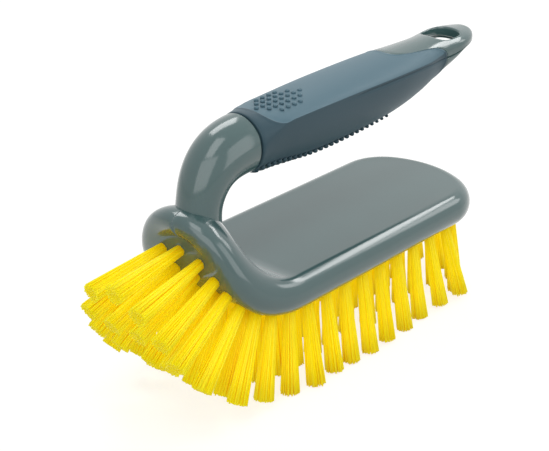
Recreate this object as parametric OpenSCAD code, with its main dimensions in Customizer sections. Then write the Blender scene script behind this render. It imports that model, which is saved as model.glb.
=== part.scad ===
// Hand scrub brush: a moulded head with a turned-up hood at the front, a
// gooseneck and a handle in one piece, a soft sleeve on the grip, and tufts
// folded over flat wire anchors in blind holes.
// X runs from the hood to the hang hole, Z is up, the tips stand on Z = 0.

/* [Head] */
// Width of the head across the flat block, in mm
head_w = 68; // [62:1:78]
// Length of the head from the hood's lip to the rear end
head_len = 174; // [160:1:200]
// Thickness of the block
block_t = 15; // [13:0.5:18]
// Width of the rounded upper edge
top_edge = 7.5; // [5:0.5:9]
// Width of the rounded lower edge
low_edge = 5.5; // [3:0.5:7]
// Radius of the bowed rear end
rear_r = 44; // [41:1:70]
// Radius of the rear corners
corner_r = 26; // [14:1:29]

/* [Hood] */
// Height of the hood's lip over the underside of the block
hood_rise = 37; // [30:1:42]
// Length over which the underside curls up to the lip
hood_run = 41; // [36:1:48]
// Depth of the hood's wall from the lip back to the deck
hood_wall = 18; // [16:0.5:22]
// Height that the hood's wall bulges over its two edges
hood_crown = 12.5; // [9:0.5:14]
// How far the hood's wall leans out over the lip, as a share
hood_lean = 0.65; // [0:0.05:0.9]
// Half width over which the lip stays nearly level
lip_flat = 22; // [16:1:26]

/* [Handle] */
// Diameter of the neck where it leaves the hood
neck_d = 17.4; // [14:0.5:20]
// Diameter of the handle at the groove between neck and grip
collar_d = 25; // [23:0.5:28]
// Height of the collar's centre over the deck
collar_z = 51.6; // [46:0.5:58]
// Distance from the hood's lip to the collar
collar_x = 34; // [30:1:40]
// Length of the grip and tail behind the collar
handle_len = 157; // [140:1:180]
// Largest width of the grip
grip_w = 29.4; // [26:0.5:34]
// Height of the grip's top face over the deck
grip_top = 64.3; // [58:0.1:70]
// Height of the grip's lowest point over the deck
grip_low = 36; // [32:0.5:40]
// How sharply the grip's top face meets its sides: 1 is round
crest_sharp = 1.3; // [1:0.1:2]
// Width of the tail at the hang hole
tail_w = 23; // [22:0.5:26]
// Thickness of the tail at its end
tail_t = 4.4; // [3.6:0.2:6]
// Width of the groove at the collar
groove_w = 1.6; // [1:0.1:2.5]
// Depth of the groove at the collar
groove_d = 1.5; // [0.8:0.1:1.8]

/* [Hang hole] */
// Length of the hang hole
hang_len = 18.5; // [14:0.5:20]
// Width of the hang hole
hang_w = 16; // [10:0.5:17]
// Distance from the hole's centre to the tail's end
hang_back = 19; // [17:0.5:21]
// Thickness of the plate that is left round the hole
hang_plate = 5; // [3.4:0.2:6]
// Width of the step in the recess under that plate
hang_step = 1.6; // [0.6:0.1:1.8]

/* [Soft sleeve] */
// Wall of the soft sleeve
sleeve_t = 2.2; // [1.5:0.1:2.6]
// Length of the sleeve on the far side
sleeve_short = 100; // [90:1:106]
// Length of the sleeve on the near side
sleeve_long = 128; // [116:1:130]
// Number of finger ribs
rib_count = 26; // [12:1:30]
// Distance between finger ribs
rib_pitch = 3.5; // [3:0.1:3.8]
// Height of the finger ribs
rib_h = 1.2; // [0.4:0.1:1.4]

/* [Bristles] */
// Visible length of the tufts under the block
tuft_len = 38.5; // [28:0.5:45]
// Diameter of a tuft where it leaves the block
tuft_d = 4.6; // [3.6:0.1:5]
// Widening of a tuft from root to tip
tuft_flare = 2; // [1.2:0.1:2.2]
// Distance between tufts along a row
tuft_pitch = 12.2; // [11:0.1:14]
// Outward lean of the outer tufts, in degrees
tuft_splay = 9; // [0:1:14]
// Depth of the blind holes
hole_depth = 9.5; // [7:0.5:10.5]
// Clearance around a tuft in its hole
hole_gap = 0.3; // [0.2:0.05:0.4]
// Width of the anchor wire
wire_w = 1.6; // [1.2:0.1:2]
// Thickness of the anchor wire
wire_t = 0.5; // [0.3:0.1:0.6]

/* [Hidden] */

plastic = [0.46, 0.51, 0.50];
soft = [0.38, 0.47, 0.53];
yellow = [0.96, 0.88, 0.10];
steel = [0.75, 0.75, 0.72];

half_w = head_w / 2;
deck_z = tuft_len + block_t;
lip_x = -head_len;
curl_x = lip_x + hood_run;
band_n = 9;
around_n = 24;

// Cubic curve through its two end points
function bez(p, t) =
    pow(1 - t, 3) * p[0] + 3 * pow(1 - t, 2) * t * p[1]
    + 3 * (1 - t) * t * t * p[2] + t * t * t * p[3];

function unit(v) = v / norm(v);
function mix(a, b, t) = a + (b - a) * t;
function smooth(t) = t <= 0 ? 0 : t >= 1 ? 1 : t * t * (3 - 2 * t);

// Smooth value through a short list of [place, value] pairs
function slope(l, i) =
    i == 0 ? (l[1][1] - l[0][1]) / (l[1][0] - l[0][0])
    : i == len(l) - 1 ? (l[i][1] - l[i - 1][1]) / (l[i][0] - l[i - 1][0])
    : (l[i + 1][1] - l[i - 1][1]) / (l[i + 1][0] - l[i - 1][0]);
function span(l, x) = max([for (i = [0:len(l) - 2]) x >= l[i][0] ? i : 0]);
function through(l, x) =
    let (i = span(l, x), w = l[i + 1][0] - l[i][0], t = (x - l[i][0]) / w)
    (1 + 2 * t) * pow(1 - t, 2) * l[i][1] + t * pow(1 - t, 2) * w * slope(l, i)
    + t * t * (3 - 2 * t) * l[i + 1][1] + t * t * (t - 1) * w * slope(l, i + 1);

// The two edges of the head's rounded side: the lip or lower edge, and the
// edge against the deck. Both start at the hood's middle and end at the
// straight side, where t is 1.
lip_y = half_w - low_edge;
rim_y = half_w - top_edge;
function low_curve(t) = bez([
    [lip_x, 0, tuft_len + hood_rise],
    [lip_x, lip_flat, tuft_len + hood_rise],
    [curl_x - hood_run * 1.03, lip_y, tuft_len],
    [curl_x, lip_y, tuft_len]], t);
function top_curve(t) = bez([
    [lip_x + hood_wall, 0, deck_z + hood_rise - block_t + 5],
    [lip_x + hood_wall, lip_flat * 0.24, deck_z + hood_rise - block_t + 5],
    [curl_x - hood_run * 0.66, rim_y, deck_z],
    [curl_x, rim_y, deck_z]], t);

// Plan of the rear end, as [x, y, outward angle] from its middle
fillet_y = half_w - corner_r;
fillet_x = sqrt(pow(rear_r - corner_r, 2) - fillet_y * fillet_y) - rear_r;
turn = atan2(fillet_y, fillet_x + rear_r);
function rear_plan(a, inset) = a < turn
    ? [(rear_r - inset) * cos(a) - rear_r, (rear_r - inset) * sin(a)]
    : [fillet_x + (corner_r - inset) * cos(a), fillet_y + (corner_r - inset) * sin(a)];

hood_n = 18;
rear_n = 14;
// Low edge, deck edge and outward direction at each step round one half
function hood_step(i) =
    let (t = i / hood_n, l = low_curve(t), u = top_curve(t),
         e = 0.01, ta = max(t - e, 0), tb = min(t + e, 1),
         run = low_curve(tb) + top_curve(tb) - low_curve(ta) - top_curve(ta),
         out = unit(cross(u - l, run)), over = hood_lean * (1 - smooth(t * 1.05)))
    [l, u, unit(out - over * unit(u - l)), mix(hood_crown, (top_edge + low_edge) / 2, smooth(t * 1.15))];
function rear_step(i) =
    let (a = 90 - 90 * i / rear_n, l = rear_plan(a, low_edge), u = rear_plan(a, top_edge),
         p = [l[0], l[1], tuft_len], q = [u[0], u[1], deck_z],
         out = unit(cross(q - p, [sin(a), -cos(a), 0])))
    [p, q, out, (top_edge + low_edge) / 2];
half_steps = concat([for (i = [0:hood_n]) hood_step(i)], [for (i = [0:rear_n]) rear_step(i)]);
half_count = len(half_steps);

// One rounded rib of the side wall, from the deck edge to the low edge
function band(s) = [for (k = [0:band_n])
    let (a = 180 * k / band_n)
    (s[0] + s[1]) / 2 + (s[1] - s[0]) / 2 * cos(a) + s[2] * s[3] * sin(a)];
function flip(p) = [p[0], -p[1], p[2]];

module head_solid() {
    loop = concat([for (s = half_steps) band(s)],
        [for (i = [half_count - 2:-1:1]) [for (p = band(half_steps[i])) flip(p)]]);
    n = len(loop);
    m = band_n + 1;
    sides = [for (i = [0:n - 1]) for (k = [0:m - 2])
        let (a = i * m + k, b = ((i + 1) % n) * m + k) each [[a, b + 1, b], [a, a + 1, b + 1]]];
    ladder = [for (i = [1:half_count - 3])
        let (a = i, b = i + 1, c = n - i - 1, d = n - i) [a, b, c, d]];
    deck = [for (q = ladder) each [[q[0] * m, q[1] * m, q[2] * m], [q[0] * m, q[2] * m, q[3] * m]]];
    under = [for (q = ladder) each [
        [q[0] * m + m - 1, q[2] * m + m - 1, q[1] * m + m - 1],
        [q[0] * m + m - 1, q[3] * m + m - 1, q[2] * m + m - 1]]];
    h = half_count - 1;
    tips = [[0, m, (n - 1) * m], [(h - 1) * m, h * m, (h + 1) * m],
        [m - 1, n * m - 1, 2 * m - 1], [h * m - 1, (h + 2) * m - 1, (h + 1) * m - 1]];
    polyhedron([for (r = loop) each r], concat(sides, deck, under, tips));
}

// Sections of the handle behind the collar, by distance from the collar
tail_x = handle_len;
function wide(x) =
    let (l = [[0, collar_d / 2], [16, mix(collar_d, grip_w, 0.5) / 2], [60, grip_w / 2],
              [92, grip_w / 2], [tail_x - 46, mix(grip_w, tail_w, 0.5) / 2],
              [tail_x - 32, tail_w / 2 - 0.7], [tail_x - 16, tail_w / 2], [tail_x, tail_w / 2]],
         end = max(0, (x - tail_x + 20) / 20))
    through(l, x) * sqrt(max(0, 1 - end * end));
function top_z(x) = through([[0, collar_z + collar_d / 2], [18, grip_top - 0.6],
    [60, grip_top + 0.6], [tail_x - 20, grip_top + 1.6], [tail_x, grip_top + 0.4]], x);
function low_z(x) = through([[0, collar_z - collar_d / 2], [15, mix(collar_z - collar_d / 2, grip_low, 0.35)],
    [40, grip_low], [75, grip_low + 0.6], [95, grip_low + 2.4], [112, grip_low + 6.2],
    [tail_x - 28, mix(grip_low, grip_top - tail_t, 0.58)],
    [tail_x - 21, mix(grip_low, grip_top - tail_t, 0.76)],
    [tail_x - 16, grip_top - tail_t - 1.8], [tail_x - 9, grip_top - tail_t - 0.2],
    [tail_x, grip_top - tail_t + 0.4]], x);
function crest_z(x) = through([[0, collar_z], [15, mix(collar_z, grip_top, 0.5)],
    [34, grip_top - 4.2], [60, grip_top - 2.9], [tail_x - 28, grip_top - 2.6],
    [tail_x - 12, grip_top - 1.6], [tail_x, grip_top - 1.8]], x);

// Point of the handle's skin at distance x, angle a, and depth below it
function skin(x, a, depth) =
    let (w = max(wide(x) - depth, 0.3), c = crest_z(x),
         up = top_z(x) - c - depth, down = c - low_z(x) - depth,
         flat = smooth(x / 24), sharp = mix(1, crest_sharp, flat),
         full = mix(mix(1, 0.94, flat), 0.5, smooth((x - tail_x + 50) / 28)),
         sz = sin(a) > 0 ? pow(sin(a), sharp) : -pow(-sin(a), full))
    [x, w * cos(a), c + sz * (sin(a) > 0 ? up : down)];
function ang(j) = 360 * j / around_n;

// Where the sleeve ends, by the angle round the handle: a sweep from the
// far side (angle 0) over the top to the near side
function sleeve_end(a) = a <= 180
    ? mix(sleeve_short, sleeve_long, smooth((a - 78) / 62))
    : mix(sleeve_long, sleeve_short, smooth((a - 180) / 180));
sleeve_start = groove_w;
core_n = 16;
rib_n = rib_count * 2;
rib_from = sleeve_start + 2;
rib_step = min(rib_pitch, (sleeve_short - rib_from - 1.5) / rib_count);
function core_x(i, a) = mix(sleeve_start, sleeve_end(a), i / core_n);

// Ribs: a wave along the underside, fading out to both sides
function rib(x, a) =
    let (s = (x - rib_from) / rib_step, under = max(0, -sin(a)))
    s < 0 || s > rib_count ? 0 : rib_h * smooth((under - 0.8) / 0.06) * (1 - abs(2 * (s - floor(s)) - 1));
rib_stop = rib_from + rib_count * rib_step;
function outer_x(i, a) = i == 0 ? sleeve_start : i == 1 ? rib_from
    : i <= rib_n + 1 ? rib_from + (i - 1) * rib_step / 2
    : mix(rib_stop, sleeve_end(a), (i - rib_n - 1) / tail_n);
tail_n = 4;
outer_n = rib_n + 1 + tail_n;

function sleeve_skin(i, a) =
    let (x = outer_x(i, a), p = skin(x, a, i == 0 ? 0.5 : 0), r = rib(x, a))
    p + r * [0, 0.9 * cos(a), -1];

// Side faces between rings, each a list of points round the handle
function ring_faces(n, m, base) = [for (i = [0:n - 2]) for (j = [0:m - 1])
    let (a = base + i * m + j, b = base + i * m + (j + 1) % m)
    each [[a, b + m, b], [a, a + m, b + m]]];

// Neck: the centre line rises from the hood and bends back to the collar
neck_n = 14;
neck_foot = deck_z + hood_rise - block_t - 4;
foot_x = lip_x + 10.6;
function neck_line(t) = bez([
    [foot_x, 0, neck_foot], [foot_x - 1, 0, mix(neck_foot, deck_z + collar_z, 0.66)],
    [mix(foot_x, lip_x + collar_x, 0.26), 0, deck_z + collar_z - 0.6],
    [lip_x + collar_x, 0, deck_z + collar_z]], t);
function neck_ring(i) =
    let (t = i / neck_n, c = neck_line(t), e = 0.01,
         d = unit(neck_line(min(t + e, 1)) - neck_line(max(t - e, 0))),
         flare = 2 * pow(max(0, 1 - t / 0.3), 2),
         r = mix(neck_d, collar_d, smooth(t * 0.9 + 0.05)) / 2 + flare)
    [for (j = [0:around_n - 1]) c + r * [-d[2] * sin(ang(j)), cos(ang(j)), d[0] * sin(ang(j))]];

function at_deck(p) = p + [lip_x + collar_x, 0, deck_z];
function skin_ring(x, depth) = [for (j = [0:around_n - 1]) at_deck(skin(x, ang(j), depth))];

module handle_solid() {
    rings = concat(
        [for (i = [0:neck_n]) neck_ring(i)],
        [skin_ring(0.01, groove_d), skin_ring(groove_w - 0.01, groove_d)],
        [for (i = [0:core_n]) [for (j = [0:around_n - 1]) at_deck(skin(core_x(i, ang(j)), ang(j), sleeve_t))]],
        [for (i = [0:7]) [for (j = [0:around_n - 1]) let (x0 = sleeve_end(ang(j)))
            at_deck(skin(mix(x0, tail_x - 0.25, 1 - pow(1 - i / 7, 1.7)), ang(j), 0))]]);
    n = len(rings);
    m = around_n;
    cap_a = [for (j = [1:m - 2]) [0, j, j + 1]];
    cap_b = [for (j = [1:m - 2]) [(n - 1) * m, (n - 1) * m + j + 1, (n - 1) * m + j]];
    polyhedron([for (r = rings) each r], concat(ring_faces(n, m, 0), cap_a, cap_b));
}

// Outline of the hang hole, grown all round by a step: square towards the
// grip and rounded towards the end
function hang_plan(step) = [for (i = [0:31])
    let (a = 360 * i / 32, p = cos(a) < 0 ? 0.45 : 0.85)
    [(hang_len / 2 + step) * sign(cos(a)) * pow(abs(cos(a)), p),
     (hang_w / 2 + step) * sign(sin(a)) * pow(abs(sin(a)), 0.8)]];

module hang_hole() {
    translate([lip_x + collar_x + tail_x - hang_back, 0, deck_z + grip_low]) {
        linear_extrude(grip_top - grip_low + 8) polygon(hang_plan(0));
        linear_extrude(grip_top + 1.6 - hang_plate - grip_low) polygon(hang_plan(hang_step));
    }
}

// Tufts. Each row is a list of [root, direction].
// The underside is level across, so a root's place along the low curve
// gives its height and the direction square to it.
function foot_at(t) = low_curve(t);
function square_to(t) =
    let (e = 0.005, d = low_curve(min(t + e, 1)) - low_curve(max(t - e, 0)))
    unit([-abs(d[2]), 0, -abs(d[0])]);
row_in = 3.1;
side_y = lip_y - row_in + 0.6;
inner_y = side_y / 2;
first_x = curl_x + 7;
last_x = -corner_r;
side_n = floor((last_x - first_x) / tuft_pitch);
splay = tan(tuft_splay);
function lean(x, y) = unit([0.2 * max(0, (x - mix(first_x, last_x, 0.4)) / (last_x - first_x)),
    splay * y / side_y, -1]);
function root(x, y) = [[x, y, tuft_len], lean(x, y)];
function row(y, from, count) = [for (i = [0:count - 1]) root(from + i * tuft_pitch, y)];

row_near = row(-side_y, first_x, side_n + 1);
row_far = row(side_y, first_x, side_n + 1);
row_inner = concat(row(-inner_y, first_x - tuft_pitch / 2, side_n + 2),
    row(inner_y, first_x - tuft_pitch / 2, side_n + 2));
row_centre = row(0, first_x, side_n + 1);
rear_in = low_edge + row_in;
row_rear = [for (a = [-60, -31, -9, 9, 31, 60]) let (p = rear_plan(abs(a), rear_in))
    [[p[0], sign(a) * p[1], tuft_len], unit([splay * cos(a) * 1.2, splay * sin(a), -1])]];

// Hood rows: at the step t of the low curve, a share of its half width
function hood_root(t, share) =
    let (p = foot_at(t), q = square_to(t), y = share * (p[1] - row_in))
    [[p[0], y, p[2]], unit(q + [0, 0.1 * share, 0])];
function mirrored(l) = concat(l, [for (h = l) if (abs(h[0][1]) > 0.1) [flip(h[0]), flip(h[1])]]);
rim_t = [0.25, 0.31, 0.43, 0.54, 0.655, 0.775, 0.875, 0.975];
rim_share = [0, 0.78, 0.96, 1, 1, 1, 1, 1];
row_hood_rim = mirrored([for (i = [0:7]) hood_root(rim_t[i], rim_share[i])]);
row_hood_mid = mirrored([hood_root(0.46, 0.3), hood_root(0.585, 0.58), hood_root(0.63, 0)]);
row_hood_low = mirrored([hood_root(0.73, 0.36), hood_root(0.8, 0.68), hood_root(0.86, 0), hood_root(0.93, 0.4)]);
all_rows = concat(row_near, row_far, row_rear, row_inner, row_centre,
    row_hood_rim, row_hood_mid, row_hood_low);

// Two directions square to a tuft's own
function side_of(d) = unit(cross(d, abs(d[0]) > 0.8 ? [0, 0, 1] : [1, 0, 0]));
function other_of(d) = cross(d, side_of(d));

// A tuft: a folded root in its hole, from which five strands spread. Where
// a tuft reaches the floor its strands are trimmed level with it.
strand_n = 5;
tip_r = tuft_d / 2 * tuft_flare;
function trim(p, d) = p[2] + d[2] * tuft_len * 1.02 < 0
    ? p - d * (p[2] / d[2])
    : p + d * tuft_len * 0.96;
function tuft_points(h) =
    let (p = h[0], d = h[1], u = side_of(d), v = other_of(d), r = tuft_d / 2,
         lift = 0.4)
    concat(
        [for (k = [0:strand_n - 1]) let (a = 360 * k / strand_n)
            p - d * (hole_depth - wire_w - 0.3) + r * (cos(a) * u + sin(a) * v)],
        [for (k = [0:strand_n - 1]) let (a = 360 * k / strand_n)
            p + d * lift + r * (cos(a) * u + sin(a) * v)],
        [p + d * lift],
        [for (k = [0:strand_n - 1]) let (b = 360 * (k + 0.5) / strand_n,
            c = p + d * lift + r * 0.56 * (cos(b) * u + sin(b) * v)) each
            [for (q = [0:2]) let (g = b + 180 + 120 * q)
                c + r * 0.34 * (cos(g) * u + sin(g) * v)]],
        [for (k = [0:strand_n - 1]) let (b = 360 * (k + 0.5) / strand_n,
            out = cos(b) * u + sin(b) * v,
            c = p + d * lift + r * 0.56 * out,
            way = unit(d * tuft_len + out * (tip_r - r) * 0.8)) each
            [for (q = [0:2]) let (g = b + 180 + 120 * q)
                trim(c + r * 0.72 * (cos(g) * u + sin(g) * v), way)]]);
function tuft_faces(o) =
    let (n = strand_n, t = o + n, c = o + 2 * n, s = c + 1, e = s + 3 * n)
    concat(
        [for (k = [1:n - 2]) [o, o + k, o + k + 1]],
        [for (k = [0:n - 1]) let (j = (k + 1) % n) each
            [[o + k, t + j, o + j], [o + k, t + k, t + j]]],
        [for (k = [0:n - 1]) let (j = (k + 1) % n, a = s + 3 * k) each
            [[c, a + 1, t + k], [c, a, a + 1], [t + k, a + 2, t + j], [t + k, a + 1, a + 2],
             [t + j, a, c], [t + j, a + 2, a]]],
        [for (k = [0:n - 1]) let (a = s + 3 * k, b = e + 3 * k) each
            [[a, b + 1, a + 1], [a, b, b + 1], [a + 1, b + 2, a + 2], [a + 1, b + 1, b + 2],
             [a + 2, b, a], [a + 2, b + 2, b], [b, b + 2, b + 1]]]);

// Middle of the whole brush along X, from the foremost tip to the tail's end
front_tip = min([for (h = row_hood_rim) for (p = tuft_points(h)) p[0]]);
mid_x = (front_tip + lip_x + collar_x + tail_x - 0.25) / 2;

module tufts(rows) {
    color(yellow)
        translate([-mid_x, 0, 0])
            for (h = rows)
                polyhedron(tuft_points(h), tuft_faces(0));
}

module holes(rows) {
    for (h = rows)
        translate(h[0] - h[1] * hole_depth)
            along(h[1])
                cylinder(h = hole_depth + 6, d = tuft_d + 2 * hole_gap, $fn = 16);
}

module along(d) {
    rotate([0, acos(d[2]), atan2(d[1], d[0])])
        children();
}

// A flat wire across the bottom of each hole, biting into its wall
module anchors(rows) {
    color(steel)
        translate([-mid_x, 0, 0])
            for (h = rows)
                translate(h[0] - h[1] * (hole_depth - wire_w / 2 - 0.1))
                    along(h[1])
                        cube([wire_t, tuft_d + 2 * hole_gap - 0.2, wire_w], center = true);
}

module moulding() {
    color(plastic)
        translate([-mid_x, 0, 0])
            difference() {
                union() {
                    head_solid();
                    handle_solid();
                }
                hang_hole();
                holes(all_rows);
            }
}

module sleeve() {
    m = around_n;
    outer = [for (i = [0:outer_n]) [for (j = [0:m - 1]) at_deck(sleeve_skin(i, ang(j)))]];
    inner = [for (i = [0:core_n]) [for (j = [0:m - 1]) at_deck(skin(core_x(i, ang(j)), ang(j), sleeve_t))]];
    no = outer_n + 1;
    ni = core_n + 1;
    base = no * m;
    inside = [for (f = ring_faces(ni, m, base)) [f[0], f[2], f[1]]];
    front = [for (j = [0:m - 1]) let (k = (j + 1) % m) each
        [[j, base + k, base + j], [j, k, base + k]]];
    a = (no - 1) * m;
    b = base + (ni - 1) * m;
    back = [for (j = [0:m - 1]) let (k = (j + 1) % m) each
        [[a + j, b + k, a + k], [a + j, b + j, b + k]]];
    color(soft)
        translate([-mid_x, 0, 0])
            polyhedron([for (r = concat(outer, inner)) each r],
                concat(ring_faces(no, m, 0), inside, front, back));
}

moulding();
sleeve();
tufts(row_near);  // tufts_near
tufts(row_far);  // tufts_far
tufts(row_rear);  // tufts_rear
tufts(row_inner);  // tufts_inner
tufts(row_centre);  // tufts_centre
tufts(row_hood_rim);  // tufts_hood_rim
tufts(row_hood_mid);  // tufts_hood_mid
tufts(row_hood_low);  // tufts_hood_low
anchors(row_near);  // anchors_near
anchors(row_far);  // anchors_far
anchors(row_rear);  // anchors_rear
anchors(row_inner);  // anchors_inner
anchors(row_centre);  // anchors_centre
anchors(row_hood_rim);  // anchors_hood_rim
anchors(row_hood_mid);  // anchors_hood_mid
anchors(row_hood_low);  // anchors_hood_low
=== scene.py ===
import math

import bmesh
import bpy
import numpy as np
from mathutils import Matrix, Vector


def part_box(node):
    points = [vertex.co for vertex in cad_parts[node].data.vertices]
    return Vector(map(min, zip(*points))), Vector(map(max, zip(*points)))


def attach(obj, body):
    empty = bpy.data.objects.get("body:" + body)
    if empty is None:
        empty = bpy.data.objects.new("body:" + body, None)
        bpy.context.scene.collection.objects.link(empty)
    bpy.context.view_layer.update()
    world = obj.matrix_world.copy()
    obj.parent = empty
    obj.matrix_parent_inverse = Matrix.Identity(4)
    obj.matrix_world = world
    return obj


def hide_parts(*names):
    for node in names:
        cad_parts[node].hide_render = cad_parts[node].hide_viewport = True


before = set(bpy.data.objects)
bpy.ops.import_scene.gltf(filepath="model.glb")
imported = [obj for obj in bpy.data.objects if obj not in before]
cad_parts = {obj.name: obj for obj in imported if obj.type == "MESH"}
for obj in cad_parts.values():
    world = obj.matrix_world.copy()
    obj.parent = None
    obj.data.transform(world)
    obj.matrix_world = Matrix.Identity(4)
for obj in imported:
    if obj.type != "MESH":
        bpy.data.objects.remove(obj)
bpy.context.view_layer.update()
scene = bpy.context.scene
scene.view_settings.view_transform = "Standard"
MM = 0.001

# ---- Studio ----
# A pale table under the brush in a room of even light, with six soft boxes
# round it: broad ones in front, beside and above, and small bright ones
# behind, which draw the highlights along its edges.


def colour(code):
    """The linear colour of an sRGB hex code such as 7a8785."""
    parts = [int(code[i:i + 2], 16) / 255 for i in (0, 2, 4)]
    return [c / 12.92 if c <= 0.04045 else ((c + 0.055) / 1.055) ** 2.4 for c in parts] + [1]


def put(tree, kind, inputs=None, **settings):
    """Adds a shader node. An input is given a value, or the output that feeds it."""
    made = tree.nodes.new(kind)
    for name, value in settings.items():
        setattr(made, name, value)
    for name, value in (inputs or {}).items():
        if isinstance(value, bpy.types.NodeSocket):
            tree.links.new(value, made.inputs[name])
        else:
            made.inputs[name].default_value = value
    return made


def new_material(name):
    made = bpy.data.materials.new(name)
    made.use_nodes = True
    made.node_tree.nodes.clear()
    return made, made.node_tree


def soft_box(name, azimuth, elevation, distance, width, height, glow):
    """A soft box by its direction from the brush in degrees and its size in metres. A glow of 1 is white."""
    a, e = math.radians(azimuth), math.radians(elevation)
    aim = Vector((0, 0, 0.06))
    place = aim + distance * Vector((math.cos(a) * math.cos(e), math.sin(a) * math.cos(e), math.sin(e)))
    data = bpy.data.lights.new(name, "AREA")
    data.shape = "RECTANGLE"
    data.size = width
    data.size_y = height
    data.energy = glow * math.pi * width * height
    lamp = bpy.data.objects.new(name, data)
    scene.collection.objects.link(lamp)
    lamp.location = place
    lamp.rotation_euler = (aim - place).to_track_quat("-Z", "Y").to_euler()


def seen_rays(tree):
    """1 for a ray that the eye can follow: straight, mirrored or through something clear."""
    rays = put(tree, "ShaderNodeLightPath")
    seen = put(tree, "ShaderNodeMath", {
        0: rays.outputs["Is Camera Ray"], 1: rays.outputs["Is Glossy Ray"]}, operation="MAXIMUM")
    seen = put(tree, "ShaderNodeMath", {
        0: seen.outputs[0], 1: rays.outputs["Is Transmission Ray"]}, operation="MAXIMUM")
    return seen.outputs[0]


soft_box("front_box", -152, 26, 1.2, 1.1, 1.0, 1.4)
soft_box("side_box", -74, 22, 1.2, 0.75, 0.95, 1.35)
soft_box("back_box", 63, 54, 1.1, 0.6, 0.42, 4.4)
soft_box("top_box", -162, 68, 1.2, 0.5, 0.75, 2.3)
soft_box("strip_box", -13, 42, 1.2, 0.62, 0.2, 6)
soft_box("corner_box", -27, 28, 1.2, 0.34, 0.3, 2.6)

TABLE_HALF, TABLE_GLOW = 6, 0.75
ROOM_LIGHT, ROOM_SEEN = 0.15, 1.0
table_data = bpy.data.meshes.new("table")
shape = bmesh.new()
bmesh.ops.create_grid(shape, x_segments=1, y_segments=1, size=TABLE_HALF)
shape.to_mesh(table_data)
shape.free()
table = bpy.data.objects.new("table", table_data)
scene.collection.objects.link(table)
paper, tree = new_material("white_paper")
glow = put(tree, "ShaderNodeMath", {0: seen_rays(tree), 1: TABLE_GLOW}, operation="MULTIPLY")
lit = put(tree, "ShaderNodeBsdfPrincipled", {
    "Base Color": colour("acacaa"), "Roughness": 0.9, "Specular IOR Level": 0.0,
    "Emission Color": colour("ffffff"), "Emission Strength": glow.outputs[0]})
put(tree, "ShaderNodeOutputMaterial", {"Surface": lit.outputs[0]})
table_data.materials.append(paper)

world = bpy.data.worlds.new("room")
scene.world = world
world.use_nodes = True
tree = world.node_tree
tree.nodes.clear()
strength = put(tree, "ShaderNodeMapRange", {
    "Value": seen_rays(tree), "To Min": ROOM_LIGHT, "To Max": ROOM_SEEN})
air = put(tree, "ShaderNodeBackground", {"Color": colour("ffffff"), "Strength": strength.outputs[0]})
put(tree, "ShaderNodeOutputWorld", {"Surface": air.outputs[0]})

# ---- Camera ----
# It stands a little over half a metre off the hood's near corner and looks
# down at 26 degrees, as in the photograph. Its place is in mm, with x from
# the block's rear end, which lies TAIL_OVERHANG in front of the tail's.

TAIL_OVERHANG = 16.75
rear_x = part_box("moulding")[1].x / MM - TAIL_OVERHANG
CAMERA_X, CAMERA_Y, CAMERA_Z = -534.63, -364.29, 328.52
FOCAL_PIXELS, PICTURE_PIXELS = 1452.9, 549
to_right = Vector((0.662285, -0.749133, 0.013353))
to_up = Vector((0.318287, 0.297432, 0.900126))
lens = bpy.data.cameras.new("camera")
lens.sensor_width = 36
lens.lens = lens.sensor_width * FOCAL_PIXELS / PICTURE_PIXELS
camera = bpy.data.objects.new("camera", lens)
scene.collection.objects.link(camera)
camera.matrix_world = Matrix.Translation(
    Vector((CAMERA_X + rear_x, CAMERA_Y, CAMERA_Z)) * MM) @ Matrix(
    (to_right, to_up, to_right.cross(to_up))).transposed().to_4x4()
scene.camera = camera

# ---- Block and hood ----
# The flat block with its rounded side, and the hood that curls up at the
# front to carry the foremost tufts. One injection moulding in polypropylene,
# so every edge is rounded and the faces are smooth with a faint flow grain.

HEAD_LEN, HALF_W, BLOCK_T = 174, 34, 15
TOP_EDGE, LOW_EDGE = 7.5, 5.5
REAR_R, CORNER_R = 44, 26
HOOD_RISE, HOOD_RUN, HOOD_WALL, HOOD_CROWN, HOOD_LEAN = 37, 41, 18, 12.5, 0.65
LIP_FLAT, DECK_FLAT, DECK_OVER = 22, 0.24, 5
LOW_PULL, DECK_PULL = 1.03, 0.66
LEAN_FADE, CROWN_FADE = 1.05, 1.15
TUFT_LEN = 38.5
DECK_Z = TUFT_LEN + BLOCK_T
LIP_X = rear_x - HEAD_LEN
CURL_X = LIP_X + HOOD_RUN


def curve(corners, t):
    a, b, c, d = (np.array(p, float) for p in corners)
    return (1 - t) ** 3 * a + 3 * (1 - t) ** 2 * t * b + 3 * (1 - t) * t * t * c + t ** 3 * d


def ease(t):
    t = min(max(t, 0), 1)
    return t * t * (3 - 2 * t)


def mix(a, b, t):
    return a + (b - a) * t


def unit(v):
    return v / np.linalg.norm(v)


def low_edge(t):
    """The block's lower edge round the hood, from the lip at 0 to the straight side at 1."""
    y = HALF_W - LOW_EDGE
    return curve([(LIP_X, 0, TUFT_LEN + HOOD_RISE), (LIP_X, LIP_FLAT, TUFT_LEN + HOOD_RISE),
                  (CURL_X - HOOD_RUN * LOW_PULL, y, TUFT_LEN), (CURL_X, y, TUFT_LEN)], t)


def deck_edge(t):
    """The edge of the deck above it, which is steeper and further in."""
    y, z = HALF_W - TOP_EDGE, TUFT_LEN + HOOD_RISE + DECK_OVER
    return curve([(LIP_X + HOOD_WALL, 0, z), (LIP_X + HOOD_WALL, LIP_FLAT * DECK_FLAT, z),
                  (CURL_X - HOOD_RUN * DECK_PULL, y, DECK_Z), (CURL_X, y, DECK_Z)], t)


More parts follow.
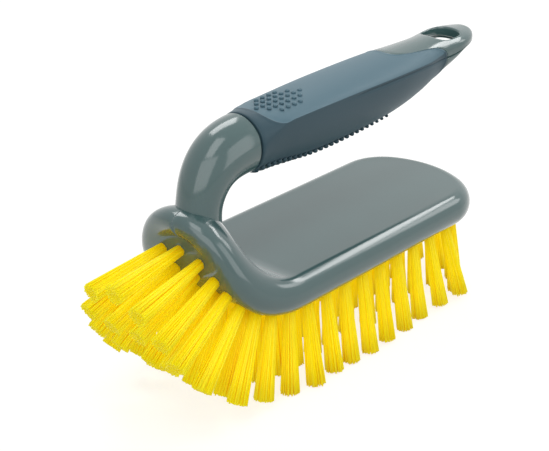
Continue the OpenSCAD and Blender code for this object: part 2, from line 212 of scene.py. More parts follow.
def hood_rib(t):
    """Low edge, deck edge, outward way and bulge of the side wall at step t."""
    low, high = low_edge(t), deck_edge(t)
    a, b = max(t - 0.01, 0), min(t + 0.01, 1)
    run = low_edge(b) + deck_edge(b) - low_edge(a) - deck_edge(a)
    out = unit(np.cross(high - low, run))
    over = HOOD_LEAN * (1 - ease(t * LEAN_FADE))
    bulge = mix(HOOD_CROWN, (TOP_EDGE + LOW_EDGE) / 2, ease(t * CROWN_FADE))
    return low, high, unit(out - over * unit(high - low)), bulge


fillet_y = HALF_W - CORNER_R
fillet_x = math.sqrt((REAR_R - CORNER_R) ** 2 - fillet_y ** 2) - REAR_R
turn = math.atan2(fillet_y, fillet_x + REAR_R)


def rear_plan(a, inset):
    """X and y of the bowed rear end at angle a, with its corner arc, set in from the edge."""
    if a < turn:
        return (REAR_R - inset) * math.cos(a) - REAR_R + rear_x, (REAR_R - inset) * math.sin(a)
    return (fillet_x + (CORNER_R - inset) * math.cos(a) + rear_x,
            fillet_y + (CORNER_R - inset) * math.sin(a))


def rear_rib(a):
    low = np.array([*rear_plan(a, LOW_EDGE), TUFT_LEN])
    high = np.array([*rear_plan(a, TOP_EDGE), DECK_Z])
    out = unit(np.cross(high - low, (math.sin(a), -math.cos(a), 0)))
    return low, high, out, (TOP_EDGE + LOW_EDGE) / 2


WELD, SLIVER = 1e-6, 1e-7


def loft(name, rings, closed=False):
    """A skin through rings of points in mm. A closed one joins its last ring to its first."""
    rows, around = len(rings) + closed, len(rings[0]) + 1
    skin = bmesh.new()
    bmesh.ops.create_grid(skin, x_segments=around - 1, y_segments=rows - 1, size=0.5)
    for v in skin.verts:
        i = round((v.co.y + 0.5) * (rows - 1)) % len(rings)
        v.co = Vector(rings[i][round((v.co.x + 0.5) * (around - 1)) % (around - 1)]) * MM
    bmesh.ops.remove_doubles(skin, verts=skin.verts, dist=WELD)
    bmesh.ops.dissolve_degenerate(skin, edges=skin.edges, dist=SLIVER)
    ends = [e for e in skin.edges if e.is_boundary]
    if ends:
        bmesh.ops.holes_fill(skin, edges=ends)
    bmesh.ops.recalc_face_normals(skin, faces=skin.faces)
    for face in skin.faces:
        face.smooth = True
    made = bpy.data.objects.new(name, bpy.data.meshes.new(name))
    skin.to_mesh(made.data)
    skin.free()
    scene.collection.objects.link(made)
    return made


HOOD_STEPS, SIDE_STEPS, REAR_STEPS, RIB_STEPS, ACROSS = 60, 12, 36, 20, 8
ribs = [hood_rib(i / HOOD_STEPS) for i in range(HOOD_STEPS + 1)]
corner = rear_rib(math.pi / 2)
for i in range(1, SIDE_STEPS):
    ribs.append(tuple(mix(a, b, i / SIDE_STEPS) for a, b in zip(ribs[HOOD_STEPS], corner)))
ribs += [rear_rib(math.pi / 2 * (1 - i / REAR_STEPS)) for i in range(REAR_STEPS + 1)]
rings = []
for low, high, out, bulge in ribs:
    wall = []
    for k in range(RIB_STEPS + 1):
        a = math.pi * k / RIB_STEPS
        wall.append((low + high) / 2 + (high - low) / 2 * math.cos(a) + out * bulge * math.sin(a))
    other = [p * (1, -1, 1) for p in wall]
    deck = [mix(other[0], wall[0], k / ACROSS) for k in range(1, ACROSS)]
    under = [mix(wall[-1], other[-1], k / ACROSS) for k in range(1, ACROSS)]
    rings.append(wall + under + other[::-1] + deck)
block = loft("block_and_hood", rings)

# Polypropylene, injection moulded in green-grey: a glossy skin with a slow
# change of tone where it flowed, and a fine grain that softens highlights.
plastic, tree = new_material("moulded_polypropylene")
place = put(tree, "ShaderNodeTexCoord")
FLOW_MM, GRAIN_MM = 22, 0.9
flow = put(tree, "ShaderNodeTexNoise", {
    "Vector": place.outputs["Object"], "Scale": 1 / (FLOW_MM * MM), "Detail": 2.0})
grain = put(tree, "ShaderNodeTexNoise", {
    "Vector": place.outputs["Object"], "Scale": 1 / (GRAIN_MM * MM), "Detail": 3.0})
tone = put(tree, "ShaderNodeMix", {
    "Factor": flow.outputs["Fac"], 6: colour("496666"), 7: colour("4e6c6c")}, data_type="RGBA")
polish = put(tree, "ShaderNodeMapRange", {
    "Value": grain.outputs["Fac"], "To Min": 0.13, "To Max": 0.18})
relief = put(tree, "ShaderNodeBump", {
    "Height": grain.outputs["Fac"], "Strength": 0.05, "Distance": 0.06 * MM})
skin = put(tree, "ShaderNodeBsdfPrincipled", {
    "Base Color": tone.outputs[2], "Roughness": polish.outputs[0], "IOR": 1.52,
    "Coat Weight": 0.5, "Coat Roughness": 0.12, "Normal": relief.outputs[0]})
put(tree, "ShaderNodeOutputMaterial", {"Surface": skin.outputs[0]})
block.data.materials.append(plastic)
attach(block, "root")
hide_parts("moulding")

# ---- Gooseneck, handle core and tail ----
# The neck rises from the top of the hood and bends back into the handle,
# with a ring groove where the soft grip begins. Behind the grip the bare
# plastic comes out again as the tail, with the hole that it hangs by.

NECK_D, COLLAR_D, COLLAR_Z, COLLAR_X = 17.4, 25, 51.6, 34
TAIL_X, GRIP_W, GRIP_TOP, GRIP_LOW = 157, 29.4, 64.3, 36
TAIL_W, TAIL_T, GROOVE_W, GROOVE_D = 23, 4.4, 1.6, 1.5
TAIL_CROWN, TAIL_ROUND, NOSE = 1.6, 20, 3
SLEEVE_T, SLEEVE_SHORT, SLEEVE_LONG = 2.2, 100, 128


def through(stops, x):
    """The value at x of the smooth curve through [place, value] stops."""
    def slope(i):
        a, b = stops[max(i - 1, 0)], stops[min(i + 1, len(stops) - 1)]
        return (b[1] - a[1]) / (b[0] - a[0])
    i = max(k for k in range(len(stops) - 1) if k == 0 or x >= stops[k][0])
    wide = stops[i + 1][0] - stops[i][0]
    t = (x - stops[i][0]) / wide
    return ((1 + 2 * t) * (1 - t) ** 2 * stops[i][1] + t * (1 - t) ** 2 * wide * slope(i)
            + t * t * (3 - 2 * t) * stops[i + 1][1] + t * t * (t - 1) * wide * slope(i + 1))


# Half widths, tops, undersides and the line where the handle is widest, each
# as [mm behind the collar, value] stops.
TAIL_LOW = GRIP_TOP - TAIL_T
WIDTHS = [(0, COLLAR_D / 2), (16, (COLLAR_D + GRIP_W) / 4), (60, GRIP_W / 2), (92, GRIP_W / 2),
          (TAIL_X - 46, (GRIP_W + TAIL_W) / 4), (TAIL_X - 32, TAIL_W / 2 - 0.7),
          (TAIL_X - 16, TAIL_W / 2), (TAIL_X, TAIL_W / 2)]
TOPS = [(0, COLLAR_Z + COLLAR_D / 2), (18, GRIP_TOP - 0.6), (60, GRIP_TOP + 0.6),
        (TAIL_X - 20, GRIP_TOP + TAIL_CROWN), (TAIL_X, GRIP_TOP + 0.4)]
LOWS = [(0, COLLAR_Z - COLLAR_D / 2), (15, mix(COLLAR_Z - COLLAR_D / 2, GRIP_LOW, 0.35)),
        (40, GRIP_LOW), (75, GRIP_LOW + 0.6), (95, GRIP_LOW + 2.4), (112, GRIP_LOW + 6.2),
        (TAIL_X - 28, mix(GRIP_LOW, TAIL_LOW, 0.58)), (TAIL_X - 21, mix(GRIP_LOW, TAIL_LOW, 0.76)),
        (TAIL_X - 16, TAIL_LOW - 1.8), (TAIL_X - 9, TAIL_LOW - 0.2), (TAIL_X, TAIL_LOW + 0.4)]
CRESTS = [(0, COLLAR_Z), (7, mix(COLLAR_Z, GRIP_TOP, 0.34)), (15, mix(COLLAR_Z, GRIP_TOP, 0.62)),
          (26, GRIP_TOP - 4), (60, GRIP_TOP - 3.7), (95, GRIP_TOP - 4), (112, GRIP_TOP - 4.8),
          (TAIL_X - 35, GRIP_TOP - 5.3), (TAIL_X - 24, GRIP_TOP - 5.2), (TAIL_X - 16, GRIP_TOP - 4.4),
          (TAIL_X - 9, GRIP_TOP - 3.8), (TAIL_X, GRIP_TOP - 3.3)]
GRIP_SHARP, TAIL_SHARP, GRIP_FULL, TAIL_FULL = 1.3, 0.6, 0.94, 0.5
COLLAR_FADE, TAIL_FROM, TAIL_FADE = 22, 50, 28
SEAM_D, SEAM_AT, SEAM_FROM, SEAM_FADE = 0.8, (181.3, 358.7), 45, 30
THIN_SIDE, THIN_TOP = 0.3, 0.2


def half_width(x):
    end = max(0, (x - TAIL_X + TAIL_ROUND) / TAIL_ROUND)
    return through(WIDTHS, x) * math.sqrt(max(0, 1 - end * end))


def handle_point(x, a, depth):
    """A point of the handle at x behind the collar and angle a round it, depth mm under its skin."""
    wide = max(half_width(x) - depth, THIN_SIDE)
    if round(math.degrees(a), 2) in SEAM_AT and depth < SEAM_D:
        wide -= (SEAM_D - depth) * ease((x - SEAM_FROM) / SEAM_FADE)
    crest = through(CRESTS, x)
    nose = math.sqrt(max(0, 1 - (max(0, x - TAIL_X + NOSE) / NOSE) ** 2))
    rise = max(through(TOPS, x) - crest - depth, THIN_TOP) * nose
    drop = max(crest - through(LOWS, x) - depth, THIN_TOP) * nose
    flat, tail, s = ease(x / COLLAR_FADE), ease((x - TAIL_X + TAIL_FROM) / TAIL_FADE), math.sin(a)
    full = mix(mix(1, GRIP_FULL, flat), TAIL_FULL, tail)
    sharp = mix(mix(1, GRIP_SHARP, flat), TAIL_SHARP, tail)
    up = s ** sharp if s > 0 else -(-s) ** full
    return Vector((LIP_X + COLLAR_X + x, wide * math.cos(a),
                   DECK_Z + crest + up * (rise if s > 0 else drop)))


# The soft grip's rear edge over the top, as [degrees round, mm] stops.
GRIP_END = [(0, SLEEVE_SHORT), (60, SLEEVE_SHORT - 2.5), (90, SLEEVE_SHORT - 4), (108, SLEEVE_SHORT - 1.5),
            (120, SLEEVE_SHORT + 7), (130, SLEEVE_SHORT + 16), (142, SLEEVE_LONG - 6),
            (158, SLEEVE_LONG - 2.5), (180, SLEEVE_LONG)]


def sleeve_end(a):
    """Where the soft grip ends: it reaches further back on one side."""
    d = math.degrees(a) % 360
    if d <= 180:
        return through(GRIP_END, d)
    return mix(SLEEVE_LONG, SLEEVE_SHORT, ease((d - 180) / 180))


# The rings' angles: even ones, more on the upper sides and beside the seams.
AROUND = 72
even = [360 * j / AROUND for j in range(AROUND)]
upper = [2, 3.5, 7, 8.5] + [12.5 + 5 * j for j in range(11)]
seams = [180.5, 181.3, 182.4, 357.6, 358.7, 359.5]
turns = sorted(even + upper + [180 - d for d in upper] + [107.5, 112.5] + seams)
angles = [math.radians(d) for d in turns]
NECK_SUNK, FOOT_IN, FOOT_FLARE, FOOT_SHARE = 4, 10.6, 2, 0.3
NECK_FOOT, FOOT_X = DECK_Z + HOOD_RISE - BLOCK_T - NECK_SUNK, LIP_X + FOOT_IN
NECK_LINE = [(FOOT_X, 0, NECK_FOOT), (FOOT_X - 1, 0, mix(NECK_FOOT, DECK_Z + COLLAR_Z, 0.66)),
             (mix(FOOT_X, LIP_X + COLLAR_X, 0.26), 0, DECK_Z + COLLAR_Z - 0.6),
             (LIP_X + COLLAR_X, 0, DECK_Z + COLLAR_Z)]


def neck_ring(t):
    way = unit(curve(NECK_LINE, min(t + 0.01, 1)) - curve(NECK_LINE, max(t - 0.01, 0)))
    middle = curve(NECK_LINE, t)
    flare = FOOT_FLARE * max(0, 1 - t / FOOT_SHARE) ** 2
    radius = mix(NECK_D, COLLAR_D, ease(t * 0.9 + 0.05)) / 2 + flare
    return [Vector(middle + radius * np.array([-way[2] * math.sin(a), math.cos(a), way[0] * math.sin(a)]))
            for a in angles]


NECK_STEPS, CORE_STEPS, TAIL_STEPS = 60, 40, 50
HAIR, TAIL_GAP, TAIL_CROWD = 0.02, 0.8, 2.2
rings = [neck_ring(i / NECK_STEPS) for i in range(NECK_STEPS)]
rings += [[handle_point(x, a, depth) for a in angles]
          for x, depth in ((0, 0), (HAIR, GROOVE_D), (GROOVE_W - HAIR, GROOVE_D))]
for i in range(CORE_STEPS + 1):
    rings.append([handle_point(mix(GROOVE_W, sleeve_end(a), i / CORE_STEPS), a, SLEEVE_T) for a in angles])
rings += [[handle_point(sleeve_end(a) + back, a, depth) for a in angles]
          for back, depth in ((HAIR, 0.6), (0.35, 0.12))]
for i in range(TAIL_STEPS + 1):
    t = 1 - (1 - i / TAIL_STEPS) ** TAIL_CROWD
    rings.append([handle_point(mix(sleeve_end(a) + TAIL_GAP, TAIL_X - HAIR, t), a, 0) for a in angles])
handle = loft("neck_and_handle", rings)


def cut(piece, tool):
    """Takes the tool's shape out of the piece."""
    change = piece.modifiers.new("cut", "BOOLEAN")
    change.operation = "DIFFERENCE"
    change.solver = "EXACT"
    change.object = tool
    bpy.context.view_layer.update()
    result = bpy.data.meshes.new_from_object(piece.evaluated_get(bpy.context.evaluated_depsgraph_get()))
    piece.modifiers.clear()
    piece.data = result
    bpy.data.objects.remove(tool)


HOLE_STEPS, HANG_PLATE, HANG_STEP, RIM, RIM_OVER = 96, 5, 1.6, 0.9, 1.2
HOLE_BACK, HOLE_HALF_LEN, HOLE_HALF_W = 20.5, 8.55, 7.5
LONG_POWER, WIDE_POWER = 0.65, 0.8
CEILING = DECK_Z + GRIP_TOP + TAIL_CROWN - HANG_PLATE


def hole_ring(grow, level, on_roof):
    """The hole's outline grown all round, at a level or at a height over the tail's top face."""
    ring = []
    for k in range(HOLE_STEPS):
        a = 2 * math.pi * k / HOLE_STEPS
        c, s = math.cos(a), math.sin(a)
        x = TAIL_X - HOLE_BACK + math.copysign(abs(c) ** LONG_POWER, c) * (HOLE_HALF_LEN + grow)
        y = math.copysign(abs(s) ** WIDE_POWER, s) * (HOLE_HALF_W + grow)
        z = level
        if on_roof:
            z += handle_point(x, math.acos(min(abs(y) / half_width(x), 1)), 0).z
        ring.append(Vector((LIP_X + COLLAR_X + x, y, z)))
    return ring


# A wide recess from below, the hole through the plate, and its round rim.
rings = [hole_ring(*r) for r in (
    (HANG_STEP, CEILING - 20, False), (HANG_STEP, CEILING, False),
    (0.35, CEILING, False), (0, CEILING + 0.4, False), (0, -RIM, True),
    (RIM * 0.12, -RIM * 0.5, True), (RIM * 0.42, -RIM * 0.12, True),
    (RIM, 0, True), (RIM + RIM_OVER, RIM_OVER / 2, True))]
rings.append([Vector((p.x, p.y, DECK_Z + GRIP_TOP + 9)) for p in rings[-1]])
cut(handle, loft("hole_tool", rings))
handle.data.set_sharp_from_angle(angle=math.radians(38))
handle.data.materials.append(plastic)
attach(handle, "root")

# ---- Soft grip ----
# Thermoplastic elastomer moulded over the handle core: a flat panel on top
# with a patch of small bumps under the thumb, and finger ribs across its
# underside that end in round nubs.

RIB_COUNT, RIB_PITCH, RIB_H, RIB_FROM = 25, 3.5, 1.2, GROOVE_W + 2
RIB_STOP = RIB_FROM + RIB_COUNT * RIB_PITCH
FRONT_RUN, RIB_EDGE, RIB_FADE = 40, 0.04, 12
RIB_LOW = 0.86, 0.93
NUB_LOW = 0.8, 0.91
NUB_SIZE, NUB_SHAPE, NUB_EVEN = (1.2, 0.75), (0.85, 1.3, 1), 12
BUMP_D, BUMP_H, BUMP_PITCH, BUMP_ROW, BUMP_X = 2.1, 0.75, 3.8, 3.5, 24
PANEL_X, PANEL_R, PANEL_D, PANEL_LIP, LIP_W = 6.8, 10, 0.5, 0.25, 0.8
PANEL_POWER, PANEL_EDGE, PANEL_SIDE, PANEL_FLAT, WIDEST = 2.6, 1.6, 0.02, 6, 0.995


def rib_height(x, a):
    """How far a finger rib stands out of the grip's underside."""
    step = (x - RIB_FROM) / RIB_PITCH
    if not 0 < step < RIB_COUNT:
        return 0
    wave = 0.5 - 0.5 * math.cos(2 * math.pi * step)
    under = max(0, -math.sin(a)) - mix(*RIB_LOW, ease(x / FRONT_RUN))
    return RIB_H * ease(under / RIB_EDGE) * ease((RIB_STOP - x) / RIB_FADE) * wave


def panel(x, a):
    """The top panel's height against the round grip, with its lip, and 1 inside it or 0 outside."""
    y = abs(math.cos(a))
    if math.sin(a) <= 0 or y > WIDEST:
        return 0, 0
    edge = PANEL_X + PANEL_R * (1 - (1 - y ** PANEL_POWER) ** (1 / PANEL_POWER))
    inside = ease((x - edge) / PANEL_EDGE) * ease((1 - y) / PANEL_SIDE)
    lip = math.exp(-((x - edge) / LIP_W) ** 2)
    sunk = PANEL_D * inside * (1 - ease((x - edge - PANEL_FLAT) / FRONT_RUN))
    return PANEL_LIP * lip - sunk, inside


def skin_point(x, a):
    return (handle_point(x, a, 0) + rib_height(x, a) * Vector((0, 0.9 * math.cos(a), -1))
            + panel(x, a)[0] * Vector((0, 0.4 * math.cos(a), math.sin(a))))


STEPS_A_RIB, REST_STEPS, REST_GAP, INNER_STEPS = 8, 12, 2, 20
rings = [[handle_point(GROOVE_W + x, a, depth) for a in angles]
         for x, depth in ((0, 0.7), (0.3, 0.15), (0.9, 0))]
for i in range(RIB_COUNT * STEPS_A_RIB + 1):
    x = RIB_FROM + i * RIB_PITCH / STEPS_A_RIB
    rings.append([skin_point(x, a) for a in angles])
for i in range(1, REST_STEPS + 1):
    rings.append([skin_point(mix(RIB_STOP, sleeve_end(a) - REST_GAP, i / REST_STEPS), a) for a in angles])
for back, depth in ((1.5, -0.1), (1, -0.22), (0.5, -0.16), (0.15, 0.05), (0, 0.5)):
    rings.append([handle_point(sleeve_end(a) - back, a, depth) for a in angles])
for i in range(INNER_STEPS, -1, -1):
    rings.append([handle_point(mix(GROOVE_W, sleeve_end(a), i / INNER_STEPS), a, SLEEVE_T) for a in angles])
sleeve = loft("soft_grip", rings, closed=True)


def bead(radius, stretch, turn, seat):
    """Adds a small stretched ball to the dots, turned and set on its seat."""
    ball = bmesh.ops.create_uvsphere(dots, u_segments=16, v_segments=10, radius=radius * MM)["verts"]
    bmesh.ops.scale(dots, verts=ball, vec=stretch)
    bmesh.ops.rotate(dots, verts=ball, matrix=turn)
    bmesh.ops.translate(dots, verts=ball, vec=seat * MM)


dots = bmesh.new()
for row, count in ((-2, 4), (-1, 6), (0, 8), (1, 6), (2, 4)):
    for k in range(count):
        across, ahead = row * BUMP_ROW, BUMP_X + (k - (count - 1) / 2) * BUMP_PITCH
        a = math.acos(across / half_width(ahead))
        seat = handle_point(ahead, a, 0)
        along_x = handle_point(ahead + 1, a, 0) - seat
        along_a = seat - handle_point(ahead, a - 0.05, 0)
        up = along_x.cross(along_a).normalized()
        if up.z < 0:
            up = -up
        bead(BUMP_D / 2, (1, 1, BUMP_H * 2 / BUMP_D), up.to_track_quat("Z", "X").to_matrix(), seat)
for k in range(RIB_COUNT):
    ahead = RIB_FROM + (k + 0.5) * RIB_PITCH
    size = mix(*NUB_SIZE, ease((k - NUB_EVEN) / NUB_EVEN))
    low = math.asin(mix(*NUB_LOW, ease(ahead / FRONT_RUN)))
    for way in (-1, 1):
        seat = handle_point(ahead, math.pi * 1.5 + way * (math.pi / 2 - low), 0)
        bead(size, NUB_SHAPE, Matrix.Identity(3), seat + Vector((0, 0.5 * way, 0.1)))
for face in dots.faces:
    face.smooth = True
dots.from_mesh(sleeve.data)
dots.to_mesh(sleeve.data)
dots.free()
# How far each point lies inside the top panel, for its paler colour: a painted sheen of the light that falls
# on the top.
panel_sheen = [0.0] * len(sleeve.data.vertices)
for v in sleeve.data.vertices:
    x, y = v.co.x / MM - LIP_X - COLLAR_X, v.co.y / MM
    if v.co.z / MM > DECK_Z + through(CRESTS, min(max(x, 0), TAIL_X)):
        a = math.acos(max(-1, min(1, y / half_width(x))))
        panel_sheen[v.index] = panel(x, a)[1]
sleeve.data.attributes.new("panel", "FLOAT", "POINT").data.foreach_set("value", panel_sheen)

# Soft elastomer: a matt skin with a fine grain, and a paler colour on the top panel that is a painted sheen,
# for the light falling on it.
elastomer, tree = new_material("moulded_thermoplastic_elastomer")
place = put(tree, "ShaderNodeTexCoord")
SKIN_MM = 0.7
fine = put(tree, "ShaderNodeTexNoise", {
    "Vector": place.outputs["Object"], "Scale": 1 / (SKIN_MM * MM), "Detail": 3.0})
broad = put(tree, "ShaderNodeTexNoise", {
    "Vector": place.outputs["Object"], "Scale": 1 / (FLOW_MM * MM), "Detail": 1.0})
tone = put(tree, "ShaderNodeMix", {
    "Factor": broad.outputs["Fac"], 6: colour("324c57"), 7: colour("38525d")}, data_type="RGBA")
# Painted sheen: the top panel is coloured paler, for the light that falls on it from above.
painted_panel_sheen = put(tree, "ShaderNodeAttribute", attribute_name="panel")
tone = put(tree, "ShaderNodeMix", {
    "Factor": painted_panel_sheen.outputs["Fac"], 6: tone.outputs[2], 7: colour("5a7885")}, data_type="RGBA")
relief = put(tree, "ShaderNodeBump", {
    "Height": fine.outputs["Fac"], "Strength": 0.25, "Distance": 0.08 * MM})
skin = put(tree, "ShaderNodeBsdfPrincipled", {
    "Base Color": tone.outputs[2], "Roughness": 0.45, "Specular IOR Level": 0.3, "Sheen Weight": 0.25,
    "Sheen Roughness": 0.4, "Sheen Tint": colour("bcd3de"), "Normal": relief.outputs[0]})
put(tree, "ShaderNodeOutputMaterial", {"Surface": skin.outputs[0]})
sleeve.data.materials.append(elastomer)
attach(sleeve, "root")
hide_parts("sleeve")

# ---- Bristle tufts ----
# Bundles of thin yellow filaments, folded in half over a wire and driven
# into blind holes. They spread a little towards their trimmed tips.

TUFT_D, TUFT_PITCH, TUFT_SPLAY = 4.6, 12.2, 9
ROW_IN, SIDE_OUT, FIRST_IN = 3.1, 0.6, 7
BACK_LEAN, BACK_FROM, HOOD_SPREAD, REAR_SPREAD = 0.2, 0.4, 0.1, 1.2
LIP_Y = HALF_W - LOW_EDGE
SIDE_Y = LIP_Y - ROW_IN + SIDE_OUT
FIRST_X, LAST_X = CURL_X + FIRST_IN, rear_x - CORNER_R
SIDE_N = math.floor((LAST_X - FIRST_X) / TUFT_PITCH)
SPLAY = math.tan(math.radians(TUFT_SPLAY))


def under_root(x, y):
    """Where a tuft under the block starts, and which way it points."""
    back = BACK_LEAN * max(0, (x - mix(FIRST_X, LAST_X, BACK_FROM)) / (LAST_X - FIRST_X))
    return np.array([x, y, TUFT_LEN]), unit(np.array([back, SPLAY * y / SIDE_Y, -1]))


def side_row(y, start, count):
    return [under_root(start + i * TUFT_PITCH, y) for i in range(count)]


def hood_root(t, share):
    """The same on the hood, at step t of its edge and a share of the way out to it."""
    p = low_edge(t)
    way = low_edge(min(t + 0.005, 1)) - low_edge(max(t - 0.005, 0))
    out = unit(unit(np.array([-abs(way[2]), 0, -abs(way[0])])) + (0, HOOD_SPREAD * share, 0))
    return np.array([p[0], share * (p[1] - ROW_IN), p[2]]), out


def both_sides(tufts):
    return tufts + [(p * (1, -1, 1), d * (1, -1, 1)) for p, d in tufts if abs(p[1]) > 0.1]


def rear_root(degrees):
    """The same round the bowed rear end."""
    a = math.radians(abs(degrees))
    x, y = rear_plan(a, LOW_EDGE + ROW_IN)
    side = math.copysign(1, degrees)
    return (np.array([x, side * y, TUFT_LEN]),
            unit(np.array([SPLAY * math.cos(a) * REAR_SPREAD, side * SPLAY * math.sin(a), -1])))


RIM_T = [0.25, 0.31, 0.43, 0.54, 0.655, 0.775, 0.875, 0.975]
RIM_SHARE = [0, 0.78, 0.96, 1, 1, 1, 1, 1]
ROWS = {
    "near": side_row(-SIDE_Y, FIRST_X, SIDE_N + 1),
    "far": side_row(SIDE_Y, FIRST_X, SIDE_N + 1),
    "rear": [rear_root(a) for a in (-60, -31, -9, 9, 31, 60)],
    "inner": side_row(-SIDE_Y / 2, FIRST_X - TUFT_PITCH / 2, SIDE_N + 2)
    + side_row(SIDE_Y / 2, FIRST_X - TUFT_PITCH / 2, SIDE_N + 2),
    "centre": side_row(0, FIRST_X, SIDE_N + 1),
    "hood_rim": both_sides([hood_root(t, s) for t, s in zip(RIM_T, RIM_SHARE)]),
    "hood_mid": both_sides([hood_root(0.46, 0.3), hood_root(0.585, 0.58), hood_root(0.63, 0)]),
    "hood_low": both_sides([hood_root(0.73, 0.36), hood_root(0.8, 0.68), hood_root(0.86, 0),
                            hood_root(0.93, 0.4)]),
}

# Nylon filament: clear yellow that lets some light through. A painted glow lifts
# all of it: bright yellow in the open, and a painted dark orange shade where the
# strands are packed close.
PACKED_MM, PAINTED_GLOW, LET_THROUGH = 7, 0.3, 0.3
fibre, tree = new_material("crimp_free_nylon_filament")
strand = put(tree, "ShaderNodeAttribute", attribute_name="strand")
along = put(tree, "ShaderNodeAttribute", attribute_name="along")
body = put(tree, "ShaderNodeMix", {
    "Factor": strand.outputs["Fac"], 6: colour("fff70c"), 7: colour("fffe40")}, data_type="RGBA")
# Painted shade: the base colour turns a deeper yellow towards the roots, next to the block.
depth = put(tree, "ShaderNodeMapRange", {
    "Value": along.outputs["Fac"], "From Max": 0.3, "To Min": 0.0, "To Max": 1.0})
shade = put(tree, "ShaderNodeMix", {
    "Factor": depth.outputs[0], 6: colour("ffec00"), 7: body.outputs[2]}, data_type="RGBA")
# Painted glow and shade: the emission turns dark orange where the strands crowd together and stays bright
# yellow in the open.
packed = put(tree, "ShaderNodeAmbientOcclusion", {"Distance": PACKED_MM * MM}, samples=4)
open_air = put(tree, "ShaderNodeMapRange", {
    "Value": packed.outputs["AO"], "From Min": 0.02, "From Max": 0.16})
painted_glow_and_shade = put(tree, "ShaderNodeMix", {
    "Factor": open_air.outputs[0], 6: colour("c05200"), 7: colour("fff60c")}, data_type="RGBA")
skin = put(tree, "ShaderNodeBsdfPrincipled", {
    "Base Color": shade.outputs[2], "Roughness": 0.36, "Specular IOR Level": 0.25,
    "Emission Color": painted_glow_and_shade.outputs[2], "Emission Strength": PAINTED_GLOW})
through_light = put(tree, "ShaderNodeBsdfTranslucent", {"Color": shade.outputs[2]})
both = put(tree, "ShaderNodeMixShader", {
    0: LET_THROUGH, 1: skin.outputs[0], 2: through_light.outputs[0]})
put(tree, "ShaderNodeOutputMaterial", {"Surface": both.outputs[0]})

STRANDS, STRAND_D, STRAND_STEPS, SIDES, SUNK = 84, 0.8, 3, 4, 2.5
HOOD_FLARE, SIDE_FLARE, FLARE_RUN = 1.8, 1.6, 45
TUFT_LEAN, TUFT_UNEVEN, TIP_UNEVEN, TWIST, STRAY = 0.022, 0.5, 0.15, 0.1, 0.12
FREE_SHARE, TRIM_SHARE, FLOOR_UNEVEN, FLOOR_TRIM = 0.96, 1.02, 0.25, 0.8
draw = np.random.default_rng(5)
serial = np.arange(STRANDS)
STEPS = np.arange(STRAND_STEPS + 1) / STRAND_STEPS


def tuft_rings(root, way):
    """Corner points of a tuft's filaments, from inside the hole to the trimmed tips."""
    side = unit(np.cross(way, (0, 0, 1) if abs(way[0]) > 0.8 else (1, 0, 0)))
    other = np.cross(way, side)
    way = unit(way + draw.normal(0, TUFT_LEAN, 3))
    share = np.sqrt((serial + 0.5) / STRANDS)
    a = serial * math.pi * (3 - math.sqrt(5)) + draw.uniform(-TWIST, TWIST, STRANDS)
    out = np.outer(np.cos(a), side) + np.outer(np.sin(a), other)
    start = root - way * SUNK + out * share[:, None] * (TUFT_D - STRAND_D) / 2
    flare = mix(HOOD_FLARE, SIDE_FLARE, ease((root[0] - CURL_X) / FLARE_RUN))
    spread = share * TUFT_D / 2 * flare + draw.uniform(-STRAY, STRAY, STRANDS)
    reach = TUFT_LEN * FREE_SHARE + draw.normal(0, TIP_UNEVEN, STRANDS)
    reach += draw.uniform(-TUFT_UNEVEN, TUFT_UNEVEN)
    if root[2] + way[2] * TUFT_LEN * TRIM_SHARE < 0:
        height = root[2] - abs(draw.normal(0, FLOOR_UNEVEN, STRANDS)) - draw.uniform(0, FLOOR_TRIM)
        reach = height / -way[2]
    tip = root + np.outer(reach, way) + out * spread[:, None]
    tip[:, 2] = np.maximum(tip[:, 2], STRAND_D / 4)
    bend = np.outer(draw.uniform(-STRAY, STRAY, STRANDS), side)
    bend += np.outer(draw.uniform(-STRAY, STRAY, STRANDS), other)
    middle = (start[:, None] + (tip - start)[:, None] * STEPS[:, None]
              + bend[:, None] * np.sin(math.pi * STEPS)[:, None])
    g = draw.uniform(0, 2 * math.pi, STRANDS)[:, None] + 2 * math.pi * np.arange(SIDES) / SIDES
    corner = STRAND_D / 2 * (np.cos(g)[..., None] * side + np.sin(g)[..., None] * other)
    return (middle[:, :, None] + corner[:, None]).reshape(STRANDS, -1, 3)


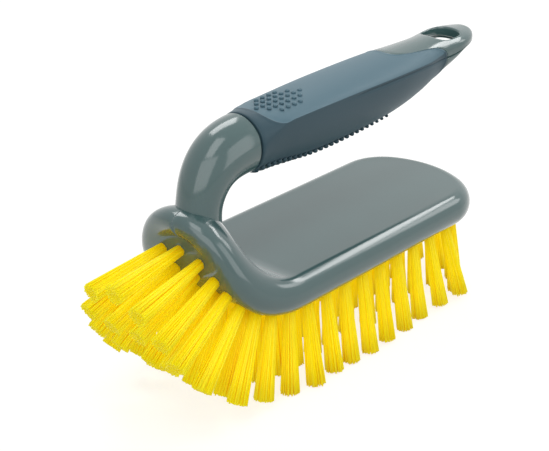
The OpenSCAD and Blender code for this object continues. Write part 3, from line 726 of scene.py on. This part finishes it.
# One plain filament, copied for every strand. Its corners are sorted from
# root to tip, so that the rings above can be written straight into it.
pin = bmesh.new()
bmesh.ops.create_cone(pin, cap_ends=True, segments=SIDES, radius1=1, radius2=1, depth=1)
for step in range(1, STRAND_STEPS):
    bmesh.ops.bisect_plane(pin, geom=pin.verts[:] + pin.edges[:] + pin.faces[:],
                           plane_co=(0, 0, step / STRAND_STEPS - 0.5), plane_no=(0, 0, 1))
pin_mesh = bpy.data.meshes.new("filament")
order = sorted(pin.verts, key=lambda v: (round(v.co.z, 3), math.atan2(v.co.y, v.co.x)))
rank = {v.index: i for i, v in enumerate(order)}
pin.to_mesh(pin_mesh)
place_of = [rank[i] for i in range(len(pin.verts))]
pin.free()

for row, tufts in ROWS.items():
    bundle = bmesh.new()
    for _ in range(len(tufts) * STRANDS):
        bundle.from_mesh(pin_mesh)
    made = bpy.data.objects.new("bristles_" + row, bpy.data.meshes.new("bristles_" + row))
    bundle.to_mesh(made.data)
    bundle.free()
    points = np.concatenate([tuft_rings(*tuft)[:, place_of] for tuft in tufts])
    made.data.vertices.foreach_set("co", (points * MM).astype(np.float32).ravel())
    shades = np.repeat(draw.random(len(points)), len(place_of))
    heights = np.tile([k // SIDES / STRAND_STEPS for k in place_of], len(points))
    for name, values in (("strand", shades), ("along", heights)):
        made.data.attributes.new(name, "FLOAT", "POINT").data.foreach_set("value", values.astype(np.float32))
    made.data.update()
    made.data.shade_smooth()
    scene.collection.objects.link(made)
    made.data.materials.append(fibre)
    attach(made, "root")
    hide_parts("tufts_" + row)

# ---- Wire anchors ----
# Flat galvanised wire at the bottom of each blind hole. Nothing of it shows.

SPANGLE_MM = 0.8
wire, tree = new_material("galvanised_flat_wire")
place = put(tree, "ShaderNodeTexCoord")
spangle = put(tree, "ShaderNodeTexNoise", {
    "Vector": place.outputs["Object"], "Scale": 1 / (SPANGLE_MM * MM), "Detail": 2.0})
dull = put(tree, "ShaderNodeMapRange", {"Value": spangle.outputs["Fac"], "To Min": 0.3, "To Max": 0.5})
skin = put(tree, "ShaderNodeBsdfPrincipled", {
    "Base Color": colour("c4c4bd"), "Metallic": 1.0, "Roughness": dull.outputs[0]})
put(tree, "ShaderNodeOutputMaterial", {"Surface": skin.outputs[0]})
for row in ROWS:
    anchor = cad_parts["anchors_" + row]
    anchor.data.materials.clear()
    anchor.data.materials.append(wire)
